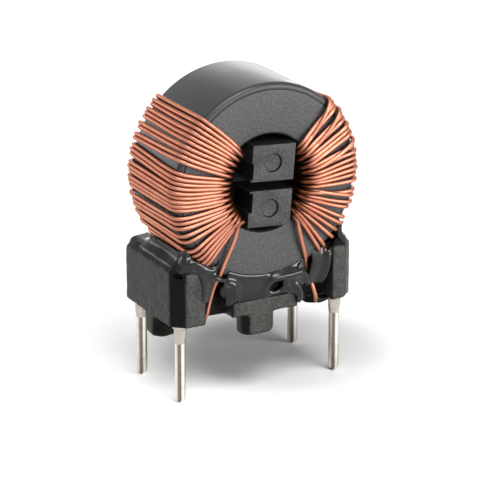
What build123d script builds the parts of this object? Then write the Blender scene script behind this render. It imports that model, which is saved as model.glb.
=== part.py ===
from build123d import *
import os
from math import asin, atan2, cos, degrees, pi, radians, sin, sqrt

# Common mode choke for a circuit board. Millimetres.
# Z = 0 is the seating plane, where the feet stand on the board. X runs along the long side of the pins,
# Y from front to back, and the origin is the middle of the pin pattern. The ring's axis lies along Y.
# The base looks the same after half a turn about Z.

# Pins: round below the solder, squared where the wire is wound on and where they are pressed into the base
pin_in_from_ring_face = 0.5
pin_diameter = 0.92
pin_square = 0.64
pin_below_seat = 5.2
pin_depth_in_base = 3.0
pin_tip_length = 0.35
pin_tip_radius = 0.2

# Base: two end blocks, a lower centre body, wire notches and four feet
base_beyond_ring = 0.15
foot_height = 1.9
pin_to_side = 1.2
pin_to_front = 1.5
block_height = 5.4
corner_chamfer = 1.05
top_edge_chamfer = 0.65
centre_half_width = 3.2
centre_set_back = 0.22
notch_depth = 1.75
wide_block_width = 2.95
narrow_block_width = 2.35
rail_height = 1.4
rail_step = 0.5
foot_chamfer = 0.6
foot_bottom_round = 0.3
long_foot_width = 3.2
long_foot_depth = 2.1
long_foot_offset = 0.45
side_foot_width = 2.5
side_foot_depth = 2.3
side_foot_offset = 0.3
guide_slot_height = 0.3
guide_slot_depth = 0.45
guide_slot_width = 1.0
guide_slot_below_top = 0.75

# Ring core in its case
ring_outer_diameter = 17.1
ring_hole_share = 0.4866
ring_depth = 8.1
ring_set_back = 0.05
ring_floor_thickness = 2.97
case_wall = 0.57
case_back = 0.6
case_hub_wall = 0.45
case_outer_round = 0.45
case_hole_round = 0.3
lid_thickness = 0.6
lid_proud = 0.08
lid_edge_chamfer = 0.05
core_play = 0.05
seat_gap = 0.05
seat_side_gap = 0.9
seat_in_from_face = 0.6

# Divider in the ring's hole, its width a share of the hole
divider_width_share = 0.488
divider_play = 0.08
divider_slot = 0.76
divider_slot_depth = 3.0
divider_proud = 0.77
divider_roll = 4.5
divider_mark_diameter = 1.55
divider_mark_depth = 0.15
divider_lip = 0.22
upper_pocket_depth = 0.18
upper_pocket_height = 1.35
lower_pocket_depth = 0.3
divider_heel_height = 1.3

# Windings: one continuous wire each, its thickness a share of the ring's diameter, so that the turns
# fill the same angle on any ring
wire_share = 0.02164
wire_clearance = 0.03
wire_sides = 6
outer_layer_height = 0.12
bulge = 0.1
sector_margin = 10.0
# Groups of neighbouring turns from the top down: the number of turns, their spacing, and the space to the
# next group, both from middle to middle in wire thicknesses on the ring's outside
left_first_angle = 46.5
left_turn_counts = [10, 4, 5, 3, 2, 5]
left_spacing_shares = [1.18, 1.06, 1.08, 1.45, 2.0, 1.5]
left_gap_shares = [2.9, 1.12, 2.24, 1.74, 2.7, 0]
right_first_angle = 46.0
right_turn_counts = [3, 3, 3, 4, 4, 3, 2, 3, 2]
right_spacing_shares = [1.12, 1.16, 1.2, 1.37, 1.29, 1.33, 1.08, 1.58, 1.74]
right_gap_shares = [1.5, 1.74, 1.87, 1.5, 2.16, 1.74, 2.7, 1.87, 0]

# Leads from the windings to the pins
wire_below_block = 0.12
lead_off_notch_floor = 1.1
left_lead_off_block = 0.4
right_lead_off_block = 1.15
left_lead_off_centre = 1.3
right_lead_off_centre = 0.55
lead_bend = 0.35
lead_bend_above_ring_bottom = 1.3
lead_bend_above_block_bottom = 1.0

# Solder round the pins
solder_wall = 0.36
solder_full_length = 0.95
solder_taper_length = 0.75
solder_film = 0.03

# Glue
glue_bed_thickness = 0.22
glue_side_below_block_top = 0.29
glue_side_angle = 7.0
glue_side_in_from_face = 0.5
glue_back_reach = 1.0
glue_up_ring = 0.7

# Worked out from the sizes above
ring_hole_diameter = ring_outer_diameter * ring_hole_share
divider_width = ring_hole_diameter * divider_width_share
wire_diameter = ring_outer_diameter * wire_share
pin_pitch_x = ring_outer_diameter + 2 * (base_beyond_ring - pin_to_side)
pin_pitch_y = ring_depth - 2 * pin_in_from_ring_face
pin_radius = pin_diameter / 2
solder_radius = pin_radius + solder_wall
solder_end = foot_height - solder_full_length - solder_taper_length
left_groups = list(zip(left_turn_counts, left_spacing_shares, left_gap_shares))
right_groups = list(zip(right_turn_counts, right_spacing_shares, right_gap_shares))
wire_radius = wire_diameter / 2
reach = wire_clearance + wire_radius
base_width = ring_outer_diameter + 2 * base_beyond_ring
base_depth = pin_pitch_y + 2 * pin_to_front
block_top = foot_height + block_height
rail_top = foot_height + rail_height
wide_block_from = base_width / 2 - wide_block_width
narrow_block_from = base_width / 2 - narrow_block_width
notch_floor = base_depth / 2 - notch_depth
centre_half_depth = base_depth / 2 - centre_set_back
recess_half_depth = centre_half_depth - rail_step
ring_radius = ring_outer_diameter / 2
hole_radius = ring_hole_diameter / 2
ring_bottom = foot_height + ring_floor_thickness + seat_gap
ring_centre_z = ring_bottom + ring_radius
ring_front = ring_set_back - base_depth / 2
ring_back = ring_front + ring_depth
turns_outside = ring_radius + 2 * wire_clearance + wire_diameter + bulge
saddle_radius = turns_outside + glue_bed_thickness
glue_side_top = block_top - glue_side_below_block_top
glue_side_from = degrees(asin((ring_centre_z - glue_side_top) / saddle_radius))
glue_side_to = glue_side_from + glue_side_angle
divider_height = 2 * sqrt((hole_radius - divider_play) ** 2 - (divider_width / 2) ** 2)
pin_places = {
    "front_left": (-pin_pitch_x / 2, -pin_pitch_y / 2),
    "front_right": (pin_pitch_x / 2, -pin_pitch_y / 2),
    "back_left": (-pin_pitch_x / 2, pin_pitch_y / 2),
    "back_right": (pin_pitch_x / 2, pin_pitch_y / 2),
}


def box_between(low, high):
    """A box between two opposite corners."""
    size = [b - a for a, b in zip(low, high)]
    middle = [(a + b) / 2 for a, b in zip(low, high)]
    return Pos(*middle) * Box(*size)


def half_turn(shape):
    """The same shape after half a turn about Z."""
    return Rot(0, 0, 180) * shape


def along_ring(radius, y_from, y_to):
    """A solid cylinder on the ring's axis."""
    middle = Pos(0, (y_from + y_to) / 2, ring_centre_z)
    return middle * Rot(90, 0, 0) * Cylinder(radius, y_to - y_from)


def turned_on_ring(corners, rounds):
    """A profile of (radius, y) corners turned about the ring's axis, some corners rounded."""
    outline = Polyline(*[(r, y) for r, y in corners], close=True)
    profile = make_face(outline)
    for place, radius in rounds:
        corner = profile.vertices().sort_by_distance((place[0], place[1], 0))[0]
        profile = fillet(corner, radius)
    return Pos(0, 0, ring_centre_z) * revolve(profile, Axis.Y)


def foot(width, depth):
    """A foot with its outer face on y = 0, its inside towards +Y, and chamfered upright edges."""
    block = box_between((-width / 2, 0, 0), (width / 2, depth, foot_height))
    block = chamfer(block.edges().filter_by(Axis.Z), foot_chamfer)
    return fillet(block.faces().sort_by(Axis.Z)[0].edges(), foot_bottom_round)


def end_blocks():
    """Both end blocks and the floor between them, with the ring's saddle cut through."""
    body = box_between(
        (-base_width / 2, -base_depth / 2, foot_height), (base_width / 2, base_depth / 2, block_top)
    )
    body = chamfer(body.edges().filter_by(Axis.Z), corner_chamfer)
    body = chamfer(body.faces().sort_by(Axis.Z)[-1].edges(), top_edge_chamfer)
    body -= along_ring(saddle_radius, -base_depth, base_depth)
    return body


def front_openings():
    """What is cut from the front: the recess above the rail and a wire notch beside each block."""
    front = -base_depth
    centre = box_between((-centre_half_width, front, 0), (centre_half_width, -centre_half_depth, block_top))
    recess = box_between(
        (-centre_half_width, front, rail_top), (centre_half_width, -recess_half_depth, block_top)
    )
    left_notch = box_between((-wide_block_from, front, 0), (-centre_half_width, -notch_floor, block_top))
    right_notch = box_between((centre_half_width, front, 0), (narrow_block_from, -notch_floor, block_top))
    return [centre, recess, left_notch, right_notch]


def guide_slot():
    """A small slot across the front left corner, just under the block's top."""
    top = block_top - guide_slot_below_top
    middle = Pos(-base_width / 2 + corner_chamfer / 2, -base_depth / 2 + corner_chamfer / 2,
                 top - guide_slot_height / 2)
    return middle * Rot(0, 0, 45) * Box(guide_slot_depth * 2, guide_slot_width, guide_slot_height)


def ring_seat():
    """The raised pad that the ring stands on, in the middle of the saddle, between the lowest turns."""
    left_last = turn_angles(left_first_angle, left_groups)[-1]
    right_last = turn_angles(right_first_angle, right_groups)[-1]
    half_width = ring_radius * cos(radians(min(left_last, right_last))) - seat_side_gap
    pad = box_between(
        (-half_width, ring_front + seat_in_from_face, foot_height + rail_height / 2),
        (half_width, ring_back - seat_in_from_face, ring_centre_z),
    )
    return pad - along_ring(ring_radius + seat_gap, -base_depth, base_depth)


def base():
    """The moulded base: blocks, centre body and feet in one piece, with a blind hole for each pin."""
    body = end_blocks()
    for cut in front_openings():
        body -= cut
        body -= half_turn(cut)
    seat = ring_seat()
    for cut in front_openings():
        seat -= cut
        seat -= half_turn(cut)
    body += seat
    body -= guide_slot()
    body -= half_turn(guide_slot())
    long_foot = Pos(-long_foot_offset, -centre_half_depth, 0) * foot(long_foot_width, long_foot_depth)
    side_foot = Pos(-base_width / 2, -side_foot_offset, 0) * Rot(0, 0, -90) * foot(
        side_foot_width, side_foot_depth
    )
    for piece in (long_foot, side_foot):
        body += piece
        body += half_turn(piece)
    for place in pin_places.values():
        body -= pin(place)
    return body


def pin(place):
    """A tinned pin: squared in the base and the solder, round below, with a rounded taper at its tip."""
    tip_top = pin_tip_length - pin_below_seat
    outline = Polyline(
        (0, -pin_below_seat),
        (pin_tip_radius, -pin_below_seat),
        (pin_radius, tip_top),
        (pin_radius, solder_end),
        (0, solder_end),
        close=True,
    )
    round_part = revolve(make_face(Plane.XZ * outline), Axis.Z)
    half = pin_square / 2
    square_part = box_between((-half, -half, tip_top), (half, half, foot_height + pin_depth_in_base))
    return Pos(place[0], place[1], 0) * (round_part + square_part)


def case_cup():
    """The case's outer wall, back and hub, open at the front."""
    rim = ring_front + lid_proud
    hub_end = ring_front + lid_thickness
    inner_wall = ring_radius - case_wall
    hub_outer = hole_radius + case_hub_wall
    corners = [
        (ring_radius, rim),
        (ring_radius, ring_back),
        (hole_radius, ring_back),
        (hole_radius, hub_end),
        (hub_outer, hub_end),
        (hub_outer, ring_back - case_back),
        (inner_wall, ring_back - case_back),
        (inner_wall, rim),
    ]
    rounds = [
        ((ring_radius, rim), case_outer_round),
        ((ring_radius, ring_back), case_outer_round),
        ((hole_radius, ring_back), case_hole_round),
    ]
    return turned_on_ring(corners, rounds)


def case_lid():
    """The flat ring that closes the case, a hair proud of the case's rim."""
    outer = ring_radius - case_wall
    back = ring_front + lid_thickness
    corners = [
        (hole_radius, ring_front),
        (outer - lid_edge_chamfer, ring_front),
        (outer, ring_front + lid_edge_chamfer),
        (outer, back),
        (hole_radius, back),
    ]
    return turned_on_ring(corners, [((hole_radius, ring_front), case_hole_round)])


def ferrite_core():
    """The ring core itself, resting on the case's back with a little play round it."""
    outer = ring_radius - case_wall - core_play
    inner = hole_radius + case_hub_wall + core_play
    front = ring_front + lid_thickness + core_play
    back = ring_back - case_back
    return turned_on_ring([(inner, front), (outer, front), (outer, back), (inner, back)], [])


def divider():
    """The bar through the hole, slotted across each end, with side pockets, a heel and round marks."""
    front = -ring_depth / 2 - divider_proud
    half_width = divider_width / 2
    half_height = divider_height / 2
    bar = Box(divider_width, ring_depth + 2 * divider_proud, divider_height)
    slot = box_between(
        (-divider_width, front, -divider_slot / 2),
        (divider_width, front + divider_slot_depth, divider_slot / 2),
    )
    lip_edge = divider_slot / 2 + divider_lip
    pocket_end = front + divider_slot_depth
    upper_pocket = box_between(
        (-divider_width, front, lip_edge),
        (upper_pocket_depth - half_width, pocket_end, lip_edge + upper_pocket_height),
    )
    lower_pocket = box_between(
        (-divider_width, front, divider_heel_height - half_height),
        (lower_pocket_depth - half_width, pocket_end, -lip_edge),
    )
    mark_place = (half_height + divider_slot / 2) / 2
    mark = Rot(90, 0, 0) * Cylinder(divider_mark_diameter / 2, 2 * divider_mark_depth)
    bar -= slot
    bar -= half_turn(slot)
    upper_mark = Pos(0, front, mark_place) * mark
    lower_mark = Pos(0, front, -mark_place) * mark
    for cut in (upper_pocket, lower_pocket, upper_mark, lower_mark):
        bar -= cut
        bar -= half_turn(cut)
    return Pos(0, (ring_front + ring_back) / 2, ring_centre_z) * Rot(0, divider_roll, 0) * bar


def turn_angles(first, groups):
    """Degrees above the horizontal of each turn on the ring's outside, from the top down."""
    wire_angle = degrees(wire_diameter / (ring_radius + reach))
    angles = []
    angle = first
    for count, spacing, gap in groups:
        for number in range(count):
            angles.append(angle)
            angle -= wire_angle * (spacing if number < count - 1 else gap)
    return angles


def sector_ends(side):
    """Degrees above the horizontal where the winding starts and ends in the hole, clear of the divider."""
    corner = degrees(atan2(divider_height, divider_width))
    return corner - side * divider_roll - sector_margin, -corner - side * divider_roll + sector_margin


def on_ring(side, radius, rise, y):
    """A point at a radius and an angle above the horizontal, on the left (-1) or right (+1) half."""
    angle = radians(rise)
    return Vector(side * radius * cos(angle), y, ring_centre_z + radius * sin(angle))


def stacked(number):
    """How far a turn is raised on the one beside it in the hole, where the turns lie two deep."""
    return (number % 2) * wire_diameter


def over_lip(side, number, rise, face, outwards):
    """The two points where turn number bends over the hole's edge, from the hole to the ring's face."""
    lip = case_hole_round / 6
    return [
        on_ring(side, hole_radius - reach - stacked(number), rise, face + outwards * lip),
        on_ring(side, hole_radius + lip, rise, face + outwards * (reach + stacked(number))),
    ]


def turn_points(side, number, rise, inner, next_inner):
    """One turn: out over the front face, back along the outside, in over the back face, into the hole."""
    lift = reach + (number % 2) * outer_layer_height
    outside = ring_radius + reach + bulge * (1 + sin(2.4 * number)) / 2
    edge = case_outer_round / 3
    return [
        *over_lip(side, number, inner, ring_front, -1),
        on_ring(side, ring_radius - edge, rise, ring_front - lift),
        on_ring(side, outside, rise, ring_front + edge),
        on_ring(side, outside, rise, ring_back - edge),
        on_ring(side, ring_radius - edge, rise, ring_back + lift),
        *reversed(over_lip(side, number + 1, next_inner, ring_back, 1)),
    ]


def front_lead(side):
    """Down the front face, through the notch and under the block to the front pin."""
    over_face = ring_front - reach
    in_notch_y = -notch_floor - lead_off_notch_floor
    pin_x, pin_y = pin_places["front_left" if side < 0 else "front_right"]
    off_ring = centre_half_width + (left_lead_off_centre if side < 0 else right_lead_off_centre)
    block_edge = wide_block_from if side < 0 else narrow_block_from
    in_notch = block_edge - (left_lead_off_block if side < 0 else right_lead_off_block)
    under = foot_height - wire_below_block - wire_radius
    return [
        Vector(side * off_ring, over_face, ring_bottom + lead_bend_above_ring_bottom),
        Vector(side * (off_ring + lead_bend), (over_face + in_notch_y) / 2, ring_bottom),
        Vector(side * in_notch, in_notch_y, foot_height + lead_bend_above_block_bottom),
        Vector(side * (in_notch + wire_radius), in_notch_y, under),
        Vector(pin_x - side * (pin_radius + reach), pin_y, under),
    ]


def back_lead(side):
    """Up from the back pin through its notch, and over the back face to the top of the winding."""
    over_turns = ring_back + reach + 2 * wire_diameter + wire_clearance
    pin_x, pin_y = pin_places["back_left" if side < 0 else "back_right"]
    block_edge = narrow_block_from if side < 0 else wide_block_from
    in_notch = block_edge - left_lead_off_block
    in_notch_y = notch_floor + lead_off_notch_floor
    under = foot_height - wire_below_block - wire_radius
    top = on_ring(side, hole_radius - wire_diameter, sector_ends(side)[0], over_turns)
    return [
        Vector(pin_x - side * (pin_radius + reach), pin_y, under),
        Vector(side * in_notch, in_notch_y, under),
        Vector(side * in_notch, in_notch_y, foot_height + 2 * lead_bend_above_block_bottom),
        Vector(side * (in_notch - lead_bend), over_turns, ring_bottom + lead_bend_above_ring_bottom),
        top,
    ]


def winding_points(side, first, groups):
    """The whole wire's centre line, from the back pin to the front pin."""
    rises = turn_angles(first, groups)
    count = len(rises)
    top, bottom = sector_ends(side)
    inner = [top + (bottom - top) * number / count for number in range(count + 1)]
    points = back_lead(side)
    points.append(on_ring(side, hole_radius - reach, top, ring_back + case_hole_round))
    for number, rise in enumerate(rises):
        points += turn_points(side, number, rise, inner[number], inner[number + 1])
    points += over_lip(side, count, bottom, ring_front, -1)
    return points + front_lead(side)


def wire_tube(points, radius, sides):
    """A flat-sided tube along straight runs, mitred at each corner and closed at both ends."""
    directions = [(b - a).normalized() for a, b in zip(points, points[1:])]
    start = Plane(origin=points[0], z_dir=directions[0])
    angles = [2 * pi * (number + 0.5) / sides for number in range(sides)]
    ring = [start.from_local_coords(Vector(radius * cos(a), radius * sin(a), 0)) for a in angles]
    rings = [ring]
    for number, point in enumerate(points[1:], start=1):
        along = directions[number - 1]
        normal = along if number == len(directions) else (along + directions[number]).normalized()
        ring = [p + along * ((point - p).dot(normal) / along.dot(normal)) for p in ring]
        rings.append(ring)
    faces = [Face(Wire.make_polygon(rings[0])), Face(Wire.make_polygon(rings[-1]))]
    for near, far in zip(rings, rings[1:]):
        for k in range(sides):
            following = (k + 1) % sides
            faces.append(Face(Wire.make_polygon([near[k], near[following], far[following], far[k]])))
    return Solid(Shell(faces))


def winding(side):
    """One half's winding with its two leads."""
    if side < 0:
        points = winding_points(side, left_first_angle, left_groups)
    else:
        points = winding_points(side, right_first_angle, right_groups)
    return wire_tube(points, wire_radius, wire_sides)


def lead_end(name):
    """The last run of the lead that is soldered to a pin, as a round bar."""
    side = -1 if name.endswith("left") else 1
    outer, inner = front_lead(side)[-2:] if name.startswith("front") else reversed(back_lead(side)[:2])
    run = inner - outer
    bar = Cylinder(wire_radius, run.length, align=(Align.CENTER, Align.CENTER, Align.MIN))
    return Plane(origin=outer, z_dir=run) * bar


def solder(name, place):
    """Solder round the pin under the block, tapering down the pin, with the lead running into it."""
    outline = Polyline(
        (0, foot_height),
        (solder_radius, foot_height),
        (solder_radius, foot_height - solder_full_length),
        (pin_radius + solder_film, solder_end),
        (0, solder_end),
        close=True,
    )
    blob = Pos(place[0], place[1], 0) * revolve(make_face(Plane.XZ * outline), Axis.Z)
    return blob - pin(place) - lead_end(name)


def glue_front(base_solid):
    """Glue filled in under the ring's front edge, on the ledge behind the rail."""
    block = box_between(
        (-centre_half_width, -centre_half_depth, rail_top),
        (centre_half_width, ring_front + seat_in_from_face + rail_step, ring_bottom + glue_up_ring),
    )
    return (block - along_ring(ring_radius, -base_depth, base_depth)) - base_solid


def glue_back(base_solid):
    """A wedge of glue between the ring's back face and the top of the base."""
    top = ring_bottom + glue_up_ring
    foot_z = ring_centre_z - saddle_radius
    wedge = make_face(
        Plane.YZ
        * Polyline(
            (ring_back, top), (ring_back + glue_back_reach, foot_z), (ring_back, foot_z), close=True
        )
    )
    block = extrude(wedge, centre_half_width, both=True)
    return block - base_solid


def glue_side(side):
    """Glue on the end block's saddle, under the lowest turns of the winding."""
    inner = turns_outside - wire_clearance
    corners = [
        on_ring(side, inner, -glue_side_from, 0),
        on_ring(side, saddle_radius * 2, -glue_side_from, 0),
        on_ring(side, saddle_radius * 2, -glue_side_to, 0),
        on_ring(side, inner, -glue_side_to, 0),
    ]
    wedge = Face(Wire.make_polygon(corners))
    block = extrude(wedge, (base_depth / 2 - glue_side_in_from_face), dir=(0, 1, 0), both=True)
    ring_zone = along_ring(saddle_radius, ring_front + glue_side_in_from_face, ring_back)
    return (block & ring_zone) - along_ring(inner, -base_depth, base_depth)


def write_parts():
    """Every piece to its own file."""
    os.makedirs("parts", exist_ok=True)
    base_solid = base()
    pieces = {
        "base": base_solid,
        "case_cup": case_cup(),
        "case_lid": case_lid(),
        "ferrite_core": ferrite_core(),
        "divider": divider(),
        "winding_left": winding(-1),
        "winding_right": winding(1),
        "glue_front": glue_front(base_solid),
        "glue_back": glue_back(base_solid),
        "glue_left": glue_side(-1),
        "glue_right": glue_side(1),
    }
    for name, place in pin_places.items():
        pieces["pin_" + name] = pin(place)
        pieces["solder_" + name] = solder(name, place)
    for name, piece in pieces.items():
        export_step(piece, "parts/" + name + ".step")


write_parts()
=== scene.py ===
import math

import bpy
import numpy as np
from bpy.props import FloatProperty, FloatVectorProperty, IntProperty, PointerProperty
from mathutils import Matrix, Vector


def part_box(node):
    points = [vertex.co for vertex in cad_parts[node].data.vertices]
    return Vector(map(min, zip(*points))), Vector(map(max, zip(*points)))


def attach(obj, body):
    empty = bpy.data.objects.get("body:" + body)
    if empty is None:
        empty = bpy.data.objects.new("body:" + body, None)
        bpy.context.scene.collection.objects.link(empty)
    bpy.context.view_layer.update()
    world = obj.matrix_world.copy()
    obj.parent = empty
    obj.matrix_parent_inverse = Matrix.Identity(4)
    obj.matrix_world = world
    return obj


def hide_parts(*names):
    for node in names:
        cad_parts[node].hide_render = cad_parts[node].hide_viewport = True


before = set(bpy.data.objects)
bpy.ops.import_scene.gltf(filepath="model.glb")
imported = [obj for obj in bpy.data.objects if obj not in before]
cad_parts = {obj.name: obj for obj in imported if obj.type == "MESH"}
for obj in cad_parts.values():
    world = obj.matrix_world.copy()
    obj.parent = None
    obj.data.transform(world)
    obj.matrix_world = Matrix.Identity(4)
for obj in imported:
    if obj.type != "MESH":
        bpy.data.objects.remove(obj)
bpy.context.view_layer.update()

bl_info = {
    "name": "Common mode choke",
    "version": (1, 0, 0),
    "blender": (4, 5, 0),
    "location": "3D View > Sidebar > Choke",
    "description": "Wires, case, divider, moulded base, pins, solder and glue of a common mode choke",
    "category": "Add Mesh",
}

MM = 0.001
SIDES = {"left": -1, "right": 1}
PLACES = ("front_left", "front_right", "back_left", "back_right")
# How far the divider is turned in the hole, in degrees, and its two round marks
DIVIDER_ROLL = 4.5
MARK_OFF_CENTRE, MARK_RADIUS = 1.96 * MM, 0.775 * MM
# How far below the lowest turn in the hole the wire goes on, in degrees
NEXT_TURN = 3.5
# Moulded grain: fine and coarse scale, the share of the fine one, its strength and its height in metres
CASE_GRAIN = (7000, 1500, 0.4, 0.5, 0.00003)
CASE_FACE_GRAIN = (5500, 1700, 0.6, 1.0, 0.00006)
CORE_GRAIN = (5000, 1500, 0.6, 0.6, 0.00003)
DIVIDER_GRAIN = (5500, 1800, 0.7, 1.0, 0.0001)
BASE_GRAIN = (5500, 1800, 0.8, 1.0, 0.0001)
RESIN_GRAIN = (3200, 900, 0.35, 0.2, 0.00004)
# Patches of an uneven finish: scale, level, how soft their edge is, and detail where it isn't the usual one
CLOUDS = (420, 0.5, 0.25)
SPECKS = (4600, 0.5, 0.25, 3.0)
DULL_RESIN = (700, 0.6, 0.1)
COPPER_PATCHES = (900, 0.52, 0.2)
TIN_STAINS = (1200, 0.55, 0.15)
FILM_SCALE, FILM_EDGE = 330, 0.05
# Between which distances from the upright middle plane the roughened outer faces, also painted lighter
# as painted light, and the glossy resin begin
ROUGH_FROM = (4.4 * MM, 4.7 * MM)
GLOSSY_FROM = (4.1 * MM, 4.8 * MM)
# How upright and square to an axis a face must be to count as an outer one, as a part of its direction
FACE_SQUARE = (0.8, 0.99)
# Painted shade on the wires towards the hole: where it begins and is full, in hole radii, and how dark it is
HOLE_SHADE_FROM, HOLE_SHADE_SHARE = (1.22, 0.88), 0.22
# How far beside a mark's outline the painted shade begins to fade and is gone, and where the front ends along
# y
MARK_LINE = (0.03 * MM, 0.1 * MM)
FRONT_ENDS = (-4 * MM, -3 * MM)

cup_low, cup_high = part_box("case_cup")
lid_low, lid_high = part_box("case_lid")
pin_low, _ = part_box("pin_front_left")


# Sizes and colours that a user would change


def length_setting(label, description, value, precision=5):
    """A length that a user can change."""
    return FloatProperty(
        name=label, description=description, unit="LENGTH", precision=precision, default=value
    )


def colour_setting(label, description, value):
    """A colour that a user can change."""
    return FloatVectorProperty(
        name=label, description=description, subtype="COLOR", size=3, default=value, min=0, max=1
    )


class ChokeRing(bpy.types.PropertyGroup):
    """The ring core's case."""

    outer_radius: length_setting("Outer radius", "Outside of the case", (cup_high.x - cup_low.x) / 2)
    hole_radius: length_setting("Hole radius", "Hole through the case", 4.1605 * MM)
    lid_radius: length_setting(
        "Face radius", "Outside of the flat front face", (lid_high.x - lid_low.x) / 2
    )
    front: length_setting("Front", "Where the front face lies along Y", lid_low.y)
    back: length_setting("Back", "Where the back face lies along Y", cup_high.y)
    centre_height: length_setting(
        "Centre height", "The ring's axis above the board", (cup_low.z + cup_high.z) / 2
    )


class ChokeWire(bpy.types.PropertyGroup):
    """The enamelled copper wire and how it is wound."""

    diameter: length_setting("Wire diameter", "Thickness over the enamel", 0.35 * MM)
    clearance: length_setting("Clearance", "Space between the wire and the case", 0.03 * MM, 6)
    bend: length_setting("Bend", "How far from the ring's outer edge the wire starts to bend", 0.8 * MM)
    lip_bend: length_setting(
        "Bend at the hole", "How far from the hole's edge the wire starts to bend", 1.2 * MM
    )
    wander: length_setting("Wander", "How far a turn strays from its straight line", 0.06 * MM, 6)
    sides: IntProperty(name="Sides", description="Flats round the wire", default=12, min=6)


class ChokeColours(bpy.types.PropertyGroup):
    """The colours of the finishes."""

    copper: colour_setting("Copper", "Enamelled wire in the light", (0.5, 0.22, 0.15))
    # Along the wires' sides partly the enamel's colour and partly painted shade, and darkened as painted
    # shade in the hole
    copper_deep: colour_setting(
        "Copper in the depth", "Enamelled wire seen along its side", (0.42, 0.125, 0.055)
    )
    case: colour_setting("Case", "Moulded case", (0.013, 0.013, 0.0135))
    base: colour_setting("Base", "Moulded base", (0.005, 0.005, 0.0045))
    divider: colour_setting("Divider", "Moulded divider", (0.010, 0.010, 0.010))
    glue: colour_setting("Glue", "Black resin", (0.004, 0.004, 0.004))
    # Also the painted highlight along the pins, the top of the painted reflections' scale
    tin: colour_setting("Tin", "Tinned pins", (0.88, 0.84, 0.76))
    # The painted dark reflections along the pins and the solder
    tin_painted_dark: colour_setting("Dull tin", "Dark streaks on the tinned pins", (0.14, 0.112, 0.09))
    core: colour_setting("Core", "Sintered ring core", (0.05, 0.048, 0.046))
    floor: colour_setting("Floor", "Table the choke stands on", (0.92, 0.92, 0.92))


GROUPS = (
    ("choke_ring", ChokeRing),
    ("choke_wire", ChokeWire),
    ("choke_colours", ChokeColours),
)


# The camera, fitted to the photo. Lens and sensor are in millimetres, the picture in pixels.


CAMERA_AIM = np.array([0.04, 0.0, 9.324]) * MM
CAMERA_DISTANCE = 219.937 * MM
CAMERA_AZIMUTH, CAMERA_HEIGHT = math.radians(28.924), math.radians(19.057)
CAMERA_YAW, CAMERA_PITCH = math.radians(28.962), math.radians(19.654)
CAMERA_LENS = 194.3
SENSOR_WIDTH, PICTURE_SIZE = 36, 480


def from_front(azimuth, height):
    """The direction at an azimuth from the front and a height above the horizon, in radians."""
    return np.array(
        [math.sin(azimuth) * math.cos(height), -math.cos(azimuth) * math.cos(height), math.sin(height)]
    )


def camera_place():
    """Where the camera stands."""
    return CAMERA_AIM + from_front(-CAMERA_AZIMUTH, CAMERA_HEIGHT) * CAMERA_DISTANCE


# Shapes as whole arrays


def unit(vectors):
    """Each vector divided by its own length."""
    return vectors / np.linalg.norm(vectors, axis=-1, keepdims=True)


def grid_faces(rows, columns, rows_close=False, columns_close=True):
    """Corner numbers of a grid's cells: (i, j), (i, j + 1), (i + 1, j + 1), (i + 1, j)."""
    i = np.arange(rows if rows_close else rows - 1)[:, None]
    j = np.arange(columns if columns_close else columns - 1)[None, :]
    here, there = i % rows * columns, (i + 1) % rows * columns
    near, far = j % columns, (j + 1) % columns
    cells = np.stack([here + near, here + far, there + far, there + near], axis=-1)
    return cells.reshape(-1, 4)


def outward(points, faces):
    """The faces, turned round if the shell they close has a negative volume, one sixth of a . (b x c)."""
    a, b, c, d = (points[faces[:, k]] for k in range(4))
    volume = np.sum(a * np.cross(b, c)) + np.sum(a * np.cross(c, d))
    return faces if volume > 0 else faces[:, ::-1]


def closed_shell(grid, rows_close=False):
    """Points and faces of a grid that closes along its columns. Open rows end in a flat cap."""
    rows, columns = grid.shape[:2]
    points = grid.reshape(-1, 3)
    quads = outward(points, grid_faces(rows, columns, rows_close))
    faces = quads.tolist()
    if not rows_close:
        first, last = np.arange(columns), (rows - 1) * columns + np.arange(columns)
        turned = quads[0, 0] != 0
        faces.append((first if turned else first[::-1]).tolist())
        faces.append((last[::-1] if turned else last).tolist())
    return points, faces


def joined(shells):
    """Several shells as one list of points and one list of faces."""
    points, faces, count = [], [], 0
    for shell_points, shell_faces in shells:
        points.append(shell_points)
        faces += [[corner + count for corner in face] for face in shell_faces]
        count += len(shell_points)
    return np.concatenate(points), faces


def rounded_outline(corners, radii, steps=7):
    """A closed outline whose corners are arcs. The arc's centre lies on the corner's bisector, at
    radius / sin(half the corner's angle), and the arc turns from one tangent point to the other."""
    corner, radius = np.asarray(corners, float), np.asarray(radii, float)[:, None]
    before = unit(np.roll(corner, 1, axis=0) - corner)
    after = unit(np.roll(corner, -1, axis=0) - corner)
    half = np.arccos(np.clip(np.sum(before * after, axis=1, keepdims=True), -1, 1)) / 2
    centre = corner + unit(before + after) * radius / np.sin(half)
    start = corner + before * radius / np.tan(half) - centre
    end = corner + after * radius / np.tan(half) - centre
    sweep, part = (np.pi - 2 * half)[:, None], np.linspace(0, 1, steps)[None, :, None]
    arcs = np.sin((1 - part) * sweep) * start[:, None] + np.sin(part * sweep) * end[:, None]
    return (centre[:, None] + arcs / np.sin(sweep)).reshape(-1, 2)


def turned_on_ring(ring, outline, segments=288):
    """An outline of (radius, y) carried once round the ring's axis: x = r cos a, z = centre + r sin a."""
    angle = np.linspace(0, 2 * np.pi, segments, endpoint=False)
    radius, y = outline[:, 0, None], outline[:, 1, None] + 0 * angle
    height = ring.centre_height + radius * np.sin(angle)
    return closed_shell(np.stack([radius * np.cos(angle), y, height], axis=-1), rows_close=True)


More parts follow.
